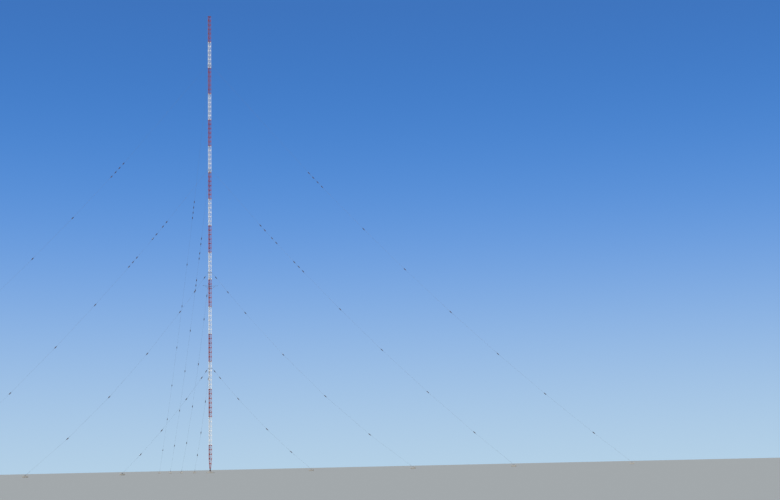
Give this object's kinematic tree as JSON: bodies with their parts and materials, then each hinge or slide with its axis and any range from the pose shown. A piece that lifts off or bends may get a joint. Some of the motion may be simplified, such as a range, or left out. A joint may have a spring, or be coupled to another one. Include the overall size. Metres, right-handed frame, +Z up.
{
  "type": "radio mast, 1:10 scale model",
  "caption": "Scale model of a guyed triangular lattice radio mast in red and white bands, on a base insulator, with insulated guys at several levels.",
  "frame": {"origin": "middle of the foundation's underside, at ground level", "axes": "+Z up along the mast; the three guy directions lie at -15, 105 and 225 degrees from +X"},
  "size_m": [37.7395, 37.7395, 25.708],
  "materials": {
    "red_paint": "weathered matt",
    "white_paint": "weathered matt",
    "galvanised_steel": "galvanised, dull",
    "guy_wire": "galvanised strand, dull",
    "brown_porcelain": "glazed",
    "base_porcelain": "glazed",
    "concrete": "cast, weathered"
  },
  "bodies": {
    "root": {"anchor_blocks_1": "concrete", "anchor_blocks_2": "concrete", "anchor_blocks_3": "concrete", "anchor_fittings_1": "galvanised_steel", "anchor_fittings_2": "galvanised_steel", "anchor_fittings_3": "galvanised_steel", "base_insulator": "base_porcelain", "base_shoe": "galvanised_steel", "bed_plate": "galvanised_steel", "foundation": "concrete", "guy_collar_1": "galvanised_steel", "guy_collar_2": "galvanised_steel", "guy_collar_3": "galvanised_steel", "guy_collar_4": "galvanised_steel", "guy_insulators_1": "brown_porcelain", "guy_insulators_2": "brown_porcelain", "guy_insulators_3": "brown_porcelain", "guy_insulators_4": "brown_porcelain", "guy_rope_1_1": "guy_wire", "guy_rope_1_2": "guy_wire", "guy_rope_1_3": "guy_wire", "guy_rope_2_1": "guy_wire", "guy_rope_2_2": "guy_wire", "guy_rope_2_3": "guy_wire", "guy_rope_3_1": "guy_wire", "guy_rope_3_2": "guy_wire", "guy_rope_3_3": "guy_wire", "guy_rope_4_1": "guy_wire", "guy_rope_4_2": "guy_wire", "guy_rope_4_3": "guy_wire", "head_plate": "red_paint", "mast_section_01": "red_paint", "mast_section_02": "white_paint", "mast_section_03": "red_paint", "mast_section_04": "white_paint", "mast_section_05": "red_paint", "mast_section_06": "white_paint", "mast_section_07": "red_paint", "mast_section_08": "white_paint", "mast_section_09": "red_paint", "mast_section_10": "white_paint", "mast_section_11": "red_paint", "mast_section_12": "white_paint", "mast_section_13": "red_paint", "mast_section_14": "white_paint", "mast_section_15": "red_paint", "mast_section_16": "white_paint", "mast_section_17": "red_paint", "spreader_frame": "galvanised_steel"}
  },
  "joints": []
}
